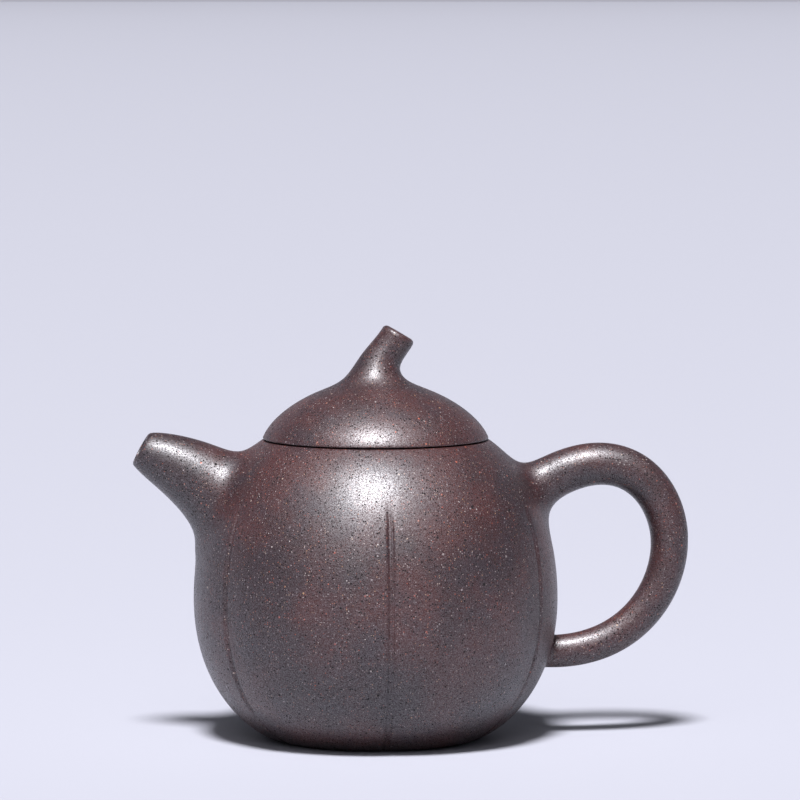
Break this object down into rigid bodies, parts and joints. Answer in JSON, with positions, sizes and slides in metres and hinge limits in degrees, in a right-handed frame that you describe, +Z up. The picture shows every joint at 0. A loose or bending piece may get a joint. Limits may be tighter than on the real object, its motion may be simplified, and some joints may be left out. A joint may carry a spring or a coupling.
{
  "type": "teapot",
  "caption": "Small melon-shaped clay teapot with pressed lobes, a short bent spout, a round loop handle and a domed lift-off lid whose knob is a leaning stem.",
  "frame": {"origin": "on the body's axis, in the plane that the pot stands on", "axes": "+X from the axis towards the handle, -X towards the spout, +Z up towards the lid, +Y to the side with the lid's vent hole"},
  "size_m": [0.1351, 0.0872, 0.1004],
  "materials": {
    "burnished_clay": "unglazed purple-brown sand-tempered clay, burnished to a soft sheen",
    "plain_clay": "unglazed purple-brown sand-tempered clay, left matt"
  },
  "bodies": {
    "pot": {"body_wall": "burnished_clay", "shoulder_disc": "burnished_clay", "base_disc": "plain_clay", "mouth_ring": "plain_clay", "spout": "burnished_clay", "spout_strainer": "plain_clay", "handle": "burnished_clay"},
    "lid": {"lid_dome": "burnished_clay", "lid_flange": "plain_clay", "lid_knob": "burnished_clay"}
  },
  "joints": [
    {"name": "lid_lift", "type": "slide", "parent": "pot", "child": "lid", "axis": [0, 0, 1], "range_m": [0, 0.06]}
  ]
}
